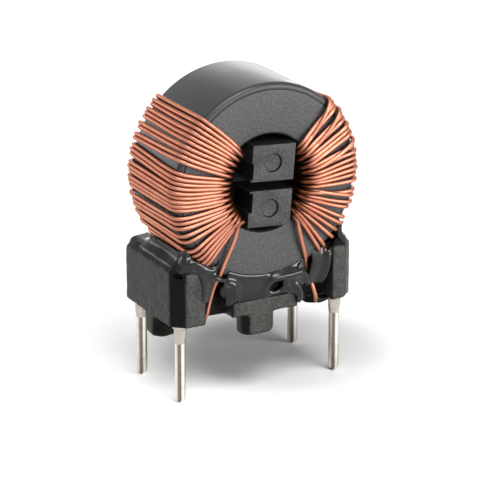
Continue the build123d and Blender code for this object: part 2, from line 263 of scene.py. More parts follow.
def turned_on_pin(profile, centre, segments=32, lumps=0.0):
    """A profile of (radius, z) carried round an upright axis. Lumps make the radius r (1 + lumps s(a, z)),
    where s is a sum of two slow waves in the angle and the height."""
    angle = np.linspace(0, 2 * np.pi, segments, endpoint=False)[None, :]
    radius, z = profile[:, 0, None], profile[:, 1, None]
    wave = np.sin(2 * angle + z * 2100) + np.sin(3 * angle - z * 3300 + 1)
    radius = radius * (1 + lumps * wave)
    x, y = centre[0] + radius * np.cos(angle), centre[1] + radius * np.sin(angle)
    return closed_shell(np.stack([x, y, z + 0 * angle], axis=-1))


def bent_path(points, bend, steps=7, run_steps=4):
    """A path whose inner points are the corners of parabolas: from its bend's length before the corner,
    P, to as far after it, (1 - t)^2 A + 2 t (1 - t) P + t^2 B. Runs between them are split evenly."""
    steps_out = np.diff(points, axis=0)
    length = np.linalg.norm(steps_out, axis=1)
    along = steps_out / length[:, None]
    cut_in = np.minimum(bend, length[:-1] * 0.48)[:, None]
    cut_out = np.minimum(bend, length[1:] * 0.48)[:, None]
    cut = np.minimum(cut_in, cut_out)
    corner = points[1:-1]
    start, end = corner - along[:-1] * cut, corner + along[1:] * cut
    t = np.linspace(0, 1, steps)[None, :, None]
    curve = (1 - t) ** 2 * start[:, None] + 2 * t * (1 - t) * corner[:, None] + t**2 * end[:, None]
    nexts = np.concatenate([start[1:], points[-1:]])
    s = np.linspace(0, 1, run_steps + 1)[None, 1:-1, None]
    runs = (1 - s) * end[:, None] + s * nexts[:, None]
    body = np.concatenate([curve, runs], axis=1).reshape(-1, 3)
    return np.concatenate([points[:1], body, points[-1:]])


def tube(path, radius, across, sides):
    """A round profile carried along a path. Its first axis is the across vector made square to the
    path, and its second is square to both."""
    along = unit(np.gradient(path, axis=0))
    first = unit(across - np.sum(across * along, axis=1, keepdims=True) * along)
    second = np.cross(along, first)
    angle = np.linspace(0, 2 * np.pi, sides, endpoint=False)[None, :, None]
    round_profile = np.cos(angle) * first[:, None] + np.sin(angle) * second[:, None]
    radius = np.broadcast_to(np.asarray(radius, float).reshape(-1, 1, 1), (len(path), 1, 1))
    return closed_shell(path[:, None] + radius * round_profile)


def spline(points, count):
    """A smooth curve through rows of any shape: cubic pieces whose slope at each row is half the step
    between its neighbours."""
    points = np.asarray(points, float)
    padded = np.concatenate([2 * points[:1] - points[1:2], points, 2 * points[-1:] - points[-2:-1]])
    place = np.linspace(0, len(points) - 1 - 1e-9, count)
    k = place.astype(int)
    t = (place - k).reshape(-1, *[1] * (points.ndim - 1))
    a, b, c, d = (padded[k + n] for n in range(4))
    return 0.5 * (2 * b + (c - a) * t + (2 * a - 5 * b + 4 * c - d) * t**2
                  + (3 * b - a - 3 * c + d) * t**3)


def strand(points, sides=14, count=40):
    """A resin strand: a round profile carried along a smooth curve through (x, y, z, radius) points in
    millimetres, closing at both ends like half a ball."""
    curve = spline(points, count)
    place = np.linspace(-1, 1, count)
    ends = np.clip(1 - np.abs(place) ** 14, 0.02, 1) ** 0.5
    across = np.broadcast_to(np.array([0.31, 0.55, 0.77]), (count, 3))
    return tube(curve[:, :3] * MM, curve[:, 3] * MM * ends, across, sides)


def film(rows, other_side, count=40):
    """A resin film: a smooth surface through a grid of (x, y, z) points in millimetres, splined along its
    rows and its columns, and the same surface moved by the other side's vector."""
    surface = spline(np.swapaxes(spline(rows, count), 0, 1), count)
    loop = np.concatenate([surface, (surface + other_side)[:, ::-1]], axis=1)
    return closed_shell(loop * MM)


def lattice_noise(points, cell, seed):
    """Smooth noise from -1 to 1: random values on a lattice of that cell size, blended between the
    eight corners round each point with the weight t^2 (3 - 2 t)."""
    values = np.random.default_rng(seed).uniform(-1, 1, (32, 32, 32))
    place = points / cell
    whole = np.floor(place).astype(int)
    t = place - whole
    t = t * t * (3 - 2 * t)
    total = np.zeros(len(points))
    for corner in np.ndindex(2, 2, 2):
        corner = np.array(corner)
        index = (whole + corner) % 32
        weight = np.prod(np.where(corner == 1, t, 1 - t), axis=1)
        total += weight * values[index[:, 0], index[:, 1], index[:, 2]]
    return total


# Pieces


def mesh_of(name, shell):
    """A mesh from points and faces, shaded smooth."""
    points, faces = shell
    mesh = bpy.data.meshes.new(name)
    mesh.from_pydata(points, [], faces)
    mesh.validate()
    mesh.polygons.foreach_set("use_smooth", np.ones(len(mesh.polygons), bool))
    mesh.update()
    return mesh


def placed(name, mesh, material, slot, *nodes):
    """A finished piece: in the scene, riding on the choke, with its material and the nodes it replaces."""
    piece = bpy.data.objects.new(name, mesh)
    bpy.context.scene.collection.objects.link(piece)
    mesh.materials.clear()
    mesh.materials.append(material)
    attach(piece, "root")
    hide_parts(*nodes)
    return piece


def finished_mesh(name, mesh, add_modifiers):
    """The mesh with modifiers applied, worked on in millimetres so that no size is too small for them."""
    helper = bpy.data.objects.new(name + "_helper", mesh)
    bpy.context.scene.collection.objects.link(helper)
    scale_points(mesh, 1 / MM)
    add_modifiers(helper)
    result = bpy.data.meshes.new_from_object(
        helper.evaluated_get(bpy.context.evaluated_depsgraph_get())
    )
    bpy.data.objects.remove(helper)
    scale_points(result, MM)
    result.name = name
    result.polygons.foreach_set("use_smooth", np.ones(len(result.polygons), bool))
    return result


def points_of(mesh):
    """The mesh's points as an array."""
    flat = np.empty(len(mesh.vertices) * 3)
    mesh.vertices.foreach_get("co", flat)
    return flat.reshape(-1, 3)


def set_points(mesh, points):
    """Puts an array of points back into the mesh."""
    mesh.vertices.foreach_set("co", points.ravel())
    mesh.update()


def scale_points(mesh, factor):
    """Every point times the factor."""
    set_points(mesh, points_of(mesh) * factor)


def lumpy(mesh, height, cell, seed):
    """Moves each point along its normal by the height times smooth noise."""
    points = points_of(mesh)
    normals = np.empty(len(points) * 3)
    mesh.vertices.foreach_get("normal", normals)
    shift = height * lattice_noise(points, cell, seed)[:, None]
    set_points(mesh, points + normals.reshape(-1, 3) * shift)


def merged_copy(node):
    """A copy of a frame node's mesh with its loose triangles merged."""
    import bmesh

    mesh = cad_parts[node].data.copy()
    work = bmesh.new()
    work.from_mesh(mesh)
    bmesh.ops.remove_doubles(work, verts=work.verts, dist=0.0005 * MM)
    work.to_mesh(mesh)
    work.free()
    return mesh


def softened(name, mesh, voxel, rounds, web=0.0):
    """A closed shape rebuilt on an even grid and smoothed, so that its edges and inner corners are round.
    A web swells the shape by that much and shrinks it again, which fills narrow gaps."""
    def add_grid(helper):
        grid = helper.modifiers.new("grid", "REMESH")
        grid.mode = "VOXEL"
        grid.voxel_size = voxel

    def add_modifiers(helper):
        add_grid(helper)
        for swell in (web, -web) if web else ():
            skin = helper.modifiers.new("skin", "DISPLACE")
            skin.strength, skin.mid_level = swell, 0.0
            add_grid(helper)
        smooth = helper.modifiers.new("smooth", "SMOOTH")
        smooth.factor = 0.5
        smooth.iterations = rounds

    return finished_mesh(name, mesh, add_modifiers)


# Finishes


def feed(tree, made, values):
    """Gives a node's inputs their values, as links where these are other nodes' outputs."""
    for key, value in values.items():
        if isinstance(value, bpy.types.NodeSocket):
            tree.links.new(value, made.inputs[key])
        else:
            made.inputs[key].default_value = value


def node(tree, kind, values=None, **settings):
    """A node with its settings and its inputs' values."""
    made = tree.nodes.new(kind)
    for key, value in settings.items():
        setattr(made, key, value)
    feed(tree, made, values or {})
    return made


def worked_out(tree, operation, first, second=None):
    """The result of one step of arithmetic."""
    values = {0: first} if second is None else {0: first, 1: second}
    return node(tree, "ShaderNodeMath", values, operation=operation).outputs["Value"]


def ranged(tree, value, start, end, low=0.0, high=1.0, **settings):
    """A value that goes from low to high while the given one goes from start to end."""
    values = {"Value": value, "From Min": start, "From Max": end, "To Min": low, "To Max": high}
    return node(tree, "ShaderNodeMapRange", values, **settings).outputs["Result"]


def mix_values(tree, mask, low, high):
    """A value that goes from low to high with the mask."""
    return ranged(tree, mask, 0.0, 1.0, low, high)


def mix_colours(tree, mask, colour_a, colour_b, blend="MIX"):
    """A colour that goes from a to b with the mask. Both are colours or other nodes' outputs."""
    a, b = (
        colour if isinstance(colour, bpy.types.NodeSocket) else (*colour, 1)
        for colour in (colour_a, colour_b)
    )
    return node(tree, "ShaderNodeMix", {0: mask, 6: a, 7: b}, data_type="RGBA", blend_type=blend).outputs[2]


def vector_chain(tree, start, *steps):
    """Vector operations in a row, each with its second vector; the last one's node."""
    for operation, value in steps:
        values = {0: start} if value is None else {0: start, 1: value}
        step = node(tree, "ShaderNodeVectorMath", values, operation=operation)
        start = step.outputs[0]
    return step


def scaled(colour, factor):
    """A colour times a factor, at most 1."""
    return tuple(min(1.0, c * factor) for c in colour)


def new_group(name, inputs, output):
    """An empty shader node group with a vector, float inputs (name, default) and one float output."""
    group = bpy.data.node_groups.new(name, "ShaderNodeTree")
    group.interface.new_socket("Vector", in_out="INPUT", socket_type="NodeSocketVector")
    for key, value in inputs:
        socket = group.interface.new_socket(key, in_out="INPUT", socket_type="NodeSocketFloat")
        socket.default_value = value
    group.interface.new_socket(output, in_out="OUTPUT", socket_type="NodeSocketFloat")
    return group, group.nodes.new("NodeGroupInput").outputs, group.nodes.new("NodeGroupOutput")


def grain_group():
    """Moulded grain: fine noise and a coarser orange peel, added into one height."""
    group, given, out = new_group(
        "moulded_grain", [("Fine Scale", 9000), ("Coarse Scale", 2200), ("Fine Share", 0.6)], "Height"
    )
    fine, coarse = (
        node(group, "ShaderNodeTexNoise",
             {"Vector": given["Vector"], "Scale": given[scale], "Detail": detail, "Roughness": roughness})
        for scale, detail, roughness in (("Fine Scale", 3.0, 0.6), ("Coarse Scale", 2.0, 0.5))
    )
    mix = node(group, "ShaderNodeMix",
               {"Factor": given["Fine Share"], "A": coarse.outputs["Fac"], "B": fine.outputs["Fac"]})
    feed(group, out, {"Height": mix.outputs["Result"]})
    return group


def patches_group():
    """Patches: noise cut at a level with a soft edge, as a mask from 0 to 1."""
    group, given, out = new_group(
        "patches", [("Scale", 500), ("Level", 0.55), ("Edge", 0.08), ("Detail", 4.0)], "Mask"
    )
    noise = node(group, "ShaderNodeTexNoise",
                 {"Roughness": 0.6, **{key: given[key] for key in ("Vector", "Scale", "Detail")}})
    low = worked_out(group, "SUBTRACT", given["Level"], given["Edge"])
    high = worked_out(group, "ADD", given["Level"], given["Edge"])
    mask = ranged(group, noise.outputs["Fac"], low, high, interpolation_type="SMOOTHSTEP")
    feed(group, out, {"Mask": mask})
    return group


def shared_group(name, build):
    """The shared group of that name, built the first time it is asked for."""
    return bpy.data.node_groups.get(name) or build()


def new_finish(name, colour, roughness, metallic=0.0, specular=0.5, coat_roughness=0.1):
    """A material with its shader and object coordinates; returns all three and the node tree."""
    material = bpy.data.materials.new(name)
    material.use_nodes = True
    material.diffuse_color = (*colour, 1)
    tree = material.node_tree
    tree.nodes.clear()
    shader = node(
        tree,
        "ShaderNodeBsdfPrincipled",
        {
            "Base Color": (*colour, 1), "Roughness": roughness, "Metallic": metallic,
            "Specular IOR Level": specular, "Coat Roughness": coat_roughness,
        },
    )
    node(tree, "ShaderNodeOutputMaterial", {"Surface": shader.outputs["BSDF"]})
    return material, tree, shader, node(tree, "ShaderNodeTexCoord")


def add_grain(tree, shader, where, fine, coarse, share, strength, distance):
    """Puts the moulded grain into the shader's normal."""
    grain = node(
        tree, "ShaderNodeGroup",
        {"Vector": where.outputs["Object"], "Fine Scale": fine, "Coarse Scale": coarse, "Fine Share": share},
        node_tree=shared_group("moulded_grain", grain_group),
    )
    bump = node(tree, "ShaderNodeBump",
                {"Strength": strength, "Distance": distance, "Height": grain.outputs["Height"]})
    feed(tree, shader, {"Normal": bump.outputs["Normal"]})


def patch_mask(tree, where, scale, level, edge, detail=4.0):
    """A mask of patches on object coordinates."""
    patches = node(
        tree, "ShaderNodeGroup",
        {"Vector": where.outputs["Object"], "Scale": scale, "Level": level, "Edge": edge, "Detail": detail},
        node_tree=shared_group("patches", patches_group),
    )
    return patches.outputs["Mask"]


def outwards(tree, where, start, end):
    """A mask that goes from 0 to 1 between two distances from the upright middle plane."""
    split = node(tree, "ShaderNodeSeparateXYZ", {"Vector": where.outputs["Object"]})
    return ranged(tree, worked_out(tree, "ABSOLUTE", split.outputs["Y"]), start, end)


def rough_lit_faces(tree, where, sides):
    """A mask of the outer flat upright faces, which the mould leaves roughened and which are also painted
    lighter, a painted light: 1 at the front and the back, the given share at the sides, 0 in recesses and
    on chamfers and round edges, which keep the plain, darker colour."""
    split = node(tree, "ShaderNodeSeparateXYZ", {"Vector": where.outputs["Normal"]})
    at_sides, at_front = (
        ranged(tree, worked_out(tree, "ABSOLUTE", split.outputs[axis]), *FACE_SQUARE, high=level)
        for axis, level in (("X", sides), ("Y", 1.0))
    )
    outer = worked_out(tree, "MULTIPLY", at_front, outwards(tree, where, *ROUGH_FROM))
    return worked_out(tree, "MAXIMUM", at_sides, outer)


def plastic_finish(name, colour, roughness, grain, film_level, film_roughness, specular=0.5, painted_lightness=1.0,
                   polish=1.0, sides=0.0):
    """Moulded black plastic: grain, uneven colour, smooth patches where resin has wetted it, and rougher,
    speckled faces at the front and the back, whose colour is painted lightness times as light, a painted
    light for the light falling on them. Polish is how much the other faces mirror."""
    material, tree, shader, where = new_finish(name, colour, roughness, specular=specular)
    cloud = patch_mask(tree, where, *CLOUDS)
    film = patch_mask(tree, where, FILM_SCALE, film_level, FILM_EDGE)
    speck = patch_mask(tree, where, *SPECKS)
    front = worked_out(tree, "MULTIPLY", rough_lit_faces(tree, where, sides), mix_values(tree, film, 1.0, 0.7))
    plain = mix_colours(tree, cloud, scaled(colour, 0.9), scaled(colour, 1.15))
    # Painted light: the outer faces' speckled colour, painted several times lighter as if lit
    mottled_and_lit = mix_colours(tree, speck, scaled(colour, 0.5 * painted_lightness), scaled(colour, 1.6 * painted_lightness))
    smooth = node(
        tree, "ShaderNodeMix",
        {"Factor": front, "A": mix_values(tree, film, roughness, film_roughness), "B": roughness + 0.12},
    )
    feed(tree, shader, {
        "Base Color": mix_colours(tree, front, plain, mottled_and_lit),
        "Roughness": smooth.outputs["Result"],
        "Specular IOR Level": mix_values(tree, front, specular * polish, specular),
    })
    add_grain(tree, shader, where, *grain)
    return material


def resin_finish(colours):
    """Black resin: glossy at the front and the back, duller on top of the end blocks, with a slow ripple
    and small dull patches."""
    material, tree, shader, where = new_finish("black_resin", colours.glue, 0.22, coat_roughness=0.08)
    dull = patch_mask(tree, where, *DULL_RESIN)
    gloss = outwards(tree, where, *GLOSSY_FROM)
    feed(tree, shader, {
        "Roughness": mix_values(tree, dull, 0.2, 0.38),
        "Coat Weight": mix_values(tree, gloss, 0.05, 0.28),
        "Specular IOR Level": mix_values(tree, gloss, 0.12, 0.25),
    })
    add_grain(tree, shader, where, *RESIN_GRAIN)
    return material


def copper_finish(colours, ring):
    """Enamelled copper: redder towards its edges and in patches, the edges' colour partly the enamel's own
    and partly painted shade between the wires, and painted shade where it goes into the hole.
    """
    material, tree, shader, where = new_finish("enamelled_copper", colours.copper, 0.36, metallic=1.0)
    facing = node(tree, "ShaderNodeLayerWeight", {"Blend": 0.5})
    patch = patch_mask(tree, where, *COPPER_PATCHES)
    bright = mix_colours(tree, patch, colours.copper, scaled(colours.copper, 0.88))
    # Partly the enamel's deeper colour along a wire's side, partly painted shade in the gaps between wires
    tint_and_gap_shade = mix_colours(tree, facing.outputs["Facing"], bright, colours.copper_deep)
    # Painted shade: the wires are painted dark where they go into the hole
    away = vector_chain(
        tree, where.outputs["Object"], ("SUBTRACT", (0, 0, ring.centre_height)), ("MULTIPLY", (1, 0, 1)),
        ("LENGTH", None),
    )
    open_from, dark_from = (ring.hole_radius * part for part in HOLE_SHADE_FROM)
    out_of_hole_shade = ranged(tree, away.outputs["Value"], dark_from, open_from)
    feed(tree, shader, {
        "Base Color": mix_colours(tree, out_of_hole_shade, scaled(colours.copper_deep, HOLE_SHADE_SHARE), tint_and_gap_shade),
        "Roughness": mix_values(tree, patch, 0.4, 0.48),
    })
    return material


def shade_painted_outlines(material, centre, roll, place, radius):
    """Paints shade along the outlines of two round marks, above and below a centre, on the front."""
    tree = material.node_tree
    where = node(tree, "ShaderNodeTexCoord").outputs["Object"]
    shader = next(part for part in tree.nodes if part.type == "BSDF_PRINCIPLED")
    turned = node(
        tree, "ShaderNodeVectorRotate",
        {"Vector": vector_chain(tree, where, ("SUBTRACT", centre)).outputs["Vector"], "Angle": -roll},
        rotation_type="Y_AXIS",
    )
    away = vector_chain(
        tree, turned.outputs["Vector"], ("ABSOLUTE", None), ("SUBTRACT", (0, 0, place)),
        ("MULTIPLY", (1, 0, 1)), ("LENGTH", None),
    )
    off_line = worked_out(tree, "ABSOLUTE", worked_out(tree, "SUBTRACT", away.outputs["Value"], radius))
    clear = ranged(tree, off_line, *MARK_LINE, low=0.05)
    split = node(tree, "ShaderNodeSeparateXYZ", {"Vector": where})
    behind = ranged(tree, split.outputs["Y"], *FRONT_ENDS)
    shade = worked_out(tree, "MAXIMUM", clear, behind)
    colour = shader.inputs["Base Color"].links[0].from_socket
    feed(tree, shader, {"Base Color": mix_colours(tree, 1.0, colour, shade, "MULTIPLY")})
    return material


def tin_finish(name, colours, stops, roughness, scratch):
    """Bright tin: warm metal with duller patches, fine marks and painted reflections, dark and bright streaks
    along it set by the surface's own direction, which stay put when the view turns. The stops give each
    streak's place, as the x of the surface's direction from -1 to 1, and its share from the painted dark to
    bright."""
    material, tree, shader, where = new_finish(name, colours.tin, roughness, metallic=1.0)
    split = node(tree, "ShaderNodeSeparateXYZ", {"Vector": where.outputs["Normal"]})
    # Painted reflection: streaks mixed from the painted dark to the tin by the surface's x direction
    ramp = node(tree, "ShaderNodeValToRGB", {"Fac": ranged(tree, split.outputs["X"], -1.0, 1.0)})
    while len(ramp.color_ramp.elements) < len(stops):
        ramp.color_ramp.elements.new(0.5)
    for stop, (x, share) in zip(ramp.color_ramp.elements, stops):
        stop.position = (x + 1) / 2
        stop.color = (*(d + (t - d) * share for d, t in zip(colours.tin_painted_dark, colours.tin)), 1)
    dull = patch_mask(tree, where, *TIN_STAINS)
    stains = mix_colours(tree, dull, (1, 1, 1), (0.85, 0.85, 0.85))
    feed(tree, shader, {
        "Base Color": mix_colours(tree, 1.0, ramp.outputs["Color"], stains, "MULTIPLY"),
        "Roughness": mix_values(tree, dull, roughness, roughness + 0.1),
    })
    add_grain(tree, shader, where, fine=9000, coarse=1500, share=0.5, strength=scratch, distance=0.00001)
    return material


def white_view(tree):
    """1 for camera, mirror and glass rays, and 0 for the rest."""
    path = node(tree, "ShaderNodeLightPath")
    total = path.outputs["Is Camera Ray"]
    for kind in ("Is Glossy Ray", "Is Transmission Ray"):
        total = worked_out(tree, "MAXIMUM", total, path.outputs[kind])
    return total


def floor_finish(colours):
    """A pale matte table that keeps the shadow. Away from the choke it also glows a little for the camera
    and for mirrors, and more beyond the lamps' reach, so that the open floor is white; the patch round the
    choke left without glow paints where the shadow lies and how far it reaches, a painted shadow."""
    material = bpy.data.materials.new("table_top")
    material.use_nodes = True
    tree = material.node_tree
    tree.nodes.clear()
    where = node(tree, "ShaderNodeTexCoord")
    away = vector_chain(tree, where.outputs["Object"], ("SUBTRACT", SHADOW_CENTRE), ("LENGTH", None))
    distance = away.outputs["Value"]
    near = ranged(tree, distance, *SHADOW_EDGE, high=GLOW, interpolation_type="SMOOTHSTEP")
    far = ranged(tree, distance, *LAMPS_FADE, high=1 - GLOW)
    strength = worked_out(tree, "MULTIPLY", worked_out(tree, "ADD", near, far), white_view(tree))
    cloth = node(tree, "ShaderNodeBsdfDiffuse", {"Color": (*colours.floor, 1)})
    glow = node(tree, "ShaderNodeEmission", {"Strength": strength})
    both = node(tree, "ShaderNodeAddShader", {0: cloth.outputs["BSDF"], 1: glow.outputs["Emission"]})
    node(tree, "ShaderNodeOutputMaterial", {"Surface": both.outputs["Shader"]})
    return material


# Case


class CHOKE_OT_case(bpy.types.Operator):
    """Builds the ring core's case and its flat front face, and gives the core inside it its finish"""

    bl_idname = "choke.case"
    bl_label = "Case"

    def execute(self, context):
        ring, colours = context.scene.choke_ring, context.scene.choke_colours
        wall, face_depth, hub_wall, back_wall = 0.57 * MM, 0.6 * MM, 0.45 * MM, 0.6 * MM
        rim, inner = ring.front + 0.08 * MM, ring.outer_radius - wall
        hub = ring.hole_radius + hub_wall
        finish = plastic_finish(
            "case_plastic", colours.case, 0.38, CASE_GRAIN, film_level=0.62, film_roughness=0.3
        )
        face_finish = plastic_finish(
            "case_face_plastic", colours.case, 0.42, CASE_FACE_GRAIN, film_level=0.62, film_roughness=0.38,
            painted_lightness=3.0,
        )
        cup = rounded_outline(
            [
                (ring.outer_radius, rim), (ring.outer_radius, ring.back), (ring.hole_radius, ring.back),
                (ring.hole_radius, ring.front + face_depth), (hub, ring.front + face_depth),
                (hub, ring.back - back_wall), (inner, ring.back - back_wall), (inner, rim),
            ],
            np.array([0.42, 0.45, 0.3, 0.03, 0.03, 0.1, 0.1, 0.04]) * MM,
        )
        face = rounded_outline(
            [
                (ring.hole_radius, ring.front), (ring.lid_radius, ring.front),
                (ring.lid_radius, ring.front + face_depth), (ring.hole_radius, ring.front + face_depth),
            ],
            np.array([0.3, 0.07, 0.03, 0.03]) * MM,
        )
        for name, outline, look, stood_for in (
            ("case_shell", cup, finish, "case_cup"), ("case_face", face, face_finish, "case_lid"),
        ):
            mesh = mesh_of(name, turned_on_ring(ring, outline))
            placed(name, mesh, look, "case_plastic", stood_for)
        core = plastic_finish(
            "sintered_core", colours.core, 0.7, CORE_GRAIN, film_level=0.7, film_roughness=0.6
        )
        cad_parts["ferrite_core"].data.materials.clear()
        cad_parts["ferrite_core"].data.materials.append(core)
        return {"FINISHED"}


# Divider


class CHOKE_OT_divider(bpy.types.Operator):
    """Builds the slotted divider with softened edges"""

    bl_idname = "choke.divider"
    bl_label = "Divider"

    def execute(self, context):
        colours = context.scene.choke_colours

        def add_modifiers(helper):
            flat = helper.modifiers.new("flat", "DECIMATE")
            flat.decimate_type = "DISSOLVE"
            flat.angle_limit = math.radians(3)
            edge = helper.modifiers.new("edge", "BEVEL")
            edge.width = 0.07
            edge.segments = 3
            edge.limit_method = "ANGLE"
            edge.angle_limit = math.radians(35)
            edge.harden_normals = False

        mesh = finished_mesh("divider_bar", merged_copy("divider"), add_modifiers)
        finish = plastic_finish(
            "divider_plastic", colours.divider, 0.38, DIVIDER_GRAIN, film_level=0.6, film_roughness=0.34,
            specular=0.35, painted_lightness=3.5, polish=0.3,
        )
        centre = (0, 0, context.scene.choke_ring.centre_height)
        # Painted shade along the outlines of the divider's two marks
        shade_painted_outlines(finish, centre, math.radians(DIVIDER_ROLL), MARK_OFF_CENTRE, MARK_RADIUS)
        placed("divider_bar", mesh, finish, "divider_plastic", "divider")
        return {"FINISHED"}


# Windings


# How far in from the hole's edge and out from the face a turn bends over, and how much of its layer's depth
# it also stands out
LIP_INWARDS, LIP_OUTWARDS, LAYER_SHARE = 0.36 * MM, 0.33 * MM, 0.7
# How far the turns stray off the ring's outside in a slow wave, and its steps in radians
OUTSIDE_STRAY, STRAY_STEP = 0.09 * MM, 2.4
# In wire thicknesses: how far neighbours differ on the face, and how far a crossing turn stands off the
# face and the outside
FACE_STEP, CROSSING_FACE, CROSSING_OUTSIDE = 0.08, 0.95, 0.12


class Layout:
    """How one half is wound. Angles are degrees above the horizontal on the ring's outside."""

    def __init__(self, ring, wire, side):
        self.ring, self.wire, self.side = ring, wire, side
        self.radius = wire.diameter / 2
        self.reach = wire.clearance + self.radius
        self.layers = 2 if side < 0 else 3
        self.divider_side = 2.25 * MM

    def point(self, radius, rise, y):
        """Points at a radius and rise, on this side: x = side r cos a, z = centre + r sin a."""
        angle = np.radians(rise)
        x, z = self.side * radius * np.cos(angle), self.ring.centre_height + radius * np.sin(angle)
        return np.stack(np.broadcast_arrays(x, y, z), axis=-1)


# Each row is one turn, from the top down: its angle at the front edge, at the back edge and in the hole,
# in degrees above the horizontal, and whether it crosses over its neighbours on the face
LEFT_TURNS = np.array([
    (46.7, 46.4, 52.0, 0), (43.6, 43.2, 48.4, 0), (40.7, 40.9, 44.6, 0), (37.8, 37.6, 41.0, 0),
    (35.0, 35.3, 37.2, 0), (32.3, 33.0, 33.2, 0), (29.4, 28.9, 29.2, 0), (26.7, 26.6, 25.0, 0),
    (24.0, 22.4, 21.4, 0), (21.2, 20.1, 17.8, 0), (14.0, 16.4, 13.6, 0), (11.4, 13.9, 10.0, 0),
    (8.8, 11.4, 6.6, 0), (6.1, 6.9, 3.4, 0), (3.4, 4.5, -0.2, 0), (0.8, 2.1, -3.8, 0),
    (-1.7, -1.2, -7.2, 0), (-4.2, -3.7, -10.8, 0), (-6.7, -6.2, -14.4, 0), (-11.7, -11.2, -18.0, 0),
    (-14.9, -15.6, -21.4, 0), (-18.1, -18.0, -25.0, 0), (-22.9, -22.6, -28.6, 0), (-27.6, -25.2, -31.4, 0),
    (-34.5, -29.4, -34.4, 0), (-38.2, -37.6, -37.2, 0), (-41.6, -40.0, -40.0, 0), (-44.6, -42.4, -42.6, 0),
    (-47.6, -44.8, -45.0, 0),
])
RIGHT_TURNS = np.array([
    (46.5, 37.5, 38.6, 1), (43.6, 34.8, 45.7, 0), (40.8, 32.2, 42.0, 0), (37.4, 29.6, 27.6, 1),
    (34.4, 27.0, 34.6, 0), (31.4, 24.4, 31.0, 0), (27.2, 21.8, 23.8, 0), (24.3, 19.2, 20.0, 0),
    (21.6, 16.6, 16.4, 0), (16.8, 13.6, 5.4, 1), (13.5, 10.6, 12.6, 0), (10.2, 7.6, 9.0, 0),
    (6.9, 4.6, 1.6, 0), (3.5, 1.8, -2.0, 0), (0.3, -1.0, -5.8, 0), (-2.9, -4.0, -9.4, 0),
    (-6.4, -7.0, -13.2, 0), (-12.4, -11.0, -20.6, 0), (-15.6, -14.5, -16.8, 1), (-19.6, -18.0, -24.4, 0),
    (-22.8, -21.5, -28.0, 0), (-29.4, -27.5, -31.8, 0), (-33.2, -31.5, -35.6, 0), (-37.9, -36.0, -39.2, 0),
    (-42.6, -40.5, -43.0, 0), (-49.5, -46.5, -46.8, 0), (-53.2, -50.0, -50.4, 0),
])


def over_lip(layout, number, rise, y, outwards):
    """The corner where a turn bends over the hole's edge. The turns lie in layers there, and none comes
    nearer to the divider, whose side lies at d / cos a, than its own thickness."""
    layer = (number % layout.layers) * layout.wire.diameter
    from_side = np.radians(rise + layout.side * DIVIDER_ROLL)
    room = layout.ring.hole_radius - layout.divider_side / np.cos(from_side)
    inwards = np.minimum(LIP_INWARDS + layer, room)
    place = y + outwards * (LIP_OUTWARDS + LAYER_SHARE * layer)
    return layout.point(layout.ring.hole_radius - inwards, rise, place)


def turns(layout, table):
    """All the turns' corner points: out over the front face, back along the outside, in over the back
    face and into the hole. One row of points for each turn."""
    ring, diameter = layout.ring, layout.wire.diameter
    front, back, inner, crossed = table.T
    number = np.arange(len(table))
    stray = OUTSIDE_STRAY * (1 + np.sin(STRAY_STEP * number)) / 2
    beyond = layout.reach + stray + crossed * CROSSING_OUTSIDE * diameter
    raised = layout.reach + (number % 3) * FACE_STEP * diameter + crossed * CROSSING_FACE * diameter
    inner_back = np.append(np.sort(inner)[::-1][1:], np.min(inner) - NEXT_TURN)
    middle = (ring.outer_radius + ring.hole_radius) / 2
    return np.stack(
        [
            over_lip(layout, number, inner, ring.front, -1),
            layout.point(middle, (front + inner) / 2, ring.front - raised),
            layout.point(ring.outer_radius + beyond, front, ring.front - beyond),
            layout.point(ring.outer_radius + beyond, back, ring.back + beyond),
            over_lip(layout, number + 1, inner_back, ring.back, 1),
        ],
        axis=1,
    )


def front_lead(layout):
    """Down the front face, through the notch and under the block to the front pin, in millimetres."""
    if layout.side < 0:
        rows = [(-2.96, -5.5, 10.5), (-3.32, -5.5, 9.2), (-3.95, -5.4, 7.8), (-4.5, -5.22, 6.24),
                (-4.85, -4.6, 5.1), (-5.2, -4.42, 3.6), (-5.45, -4.4, 2.5), (-5.6, -4.0, 1.85),
                (-5.95, -3.6, 1.62), (-6.825, -3.55, 1.595)]
    else:
        rows = [(2.59, -5.5, 9.94), (2.93, -5.45, 8.54), (3.62, -5.25, 6.41), (4.0, -4.5, 5.4),
                (4.6, -4.05, 4.4), (4.95, -4.35, 3.1), (5.2, -4.4, 2.2), (5.35, -4.0, 1.75), (5.9, -3.6, 1.6),
                (6.825, -3.55, 1.595)]
    return np.array(rows) * MM


def back_lead(layout):
    """From the back pin up through its notch and over the back face, in millimetres."""
    side = layout.side
    in_notch = 5.95 if side < 0 else 5.35
    rows = [(6.825, 3.55, 1.595), (in_notch, 4.4, 1.595), (in_notch, 4.4, 3.9),
            (in_notch - 0.35, 4.085, 6.22)]
    return np.array(rows) * [side * MM, MM, MM]


def winding_path(layout, table):
    """The whole wire's corner points, from the back pin to the front pin."""
    ring, wire, count = layout.ring, layout.wire, len(table)
    top, bottom = np.max(table[:, 2]), np.min(table[:, 2]) - NEXT_TURN
    over_turns = ring.back + layout.reach + 2 * wire.diameter + wire.clearance
    start = layout.point(ring.hole_radius - wire.diameter, top, over_turns)[None]
    body = turns(layout, table).reshape(-1, 3)
    last = over_lip(layout, count, bottom, ring.front, -1)[None]
    path = np.concatenate([back_lead(layout), start, body, last, front_lead(layout)])
    bends = np.tile([wire.lip_bend, wire.lip_bend, wire.bend * 1.4, wire.bend, wire.lip_bend], count)
    before, after = len(back_lead(layout)), len(front_lead(layout)) - 1
    bends = np.concatenate([np.full(before, wire.bend), bends, np.full(after + 1, wire.bend)])
    return path, bends


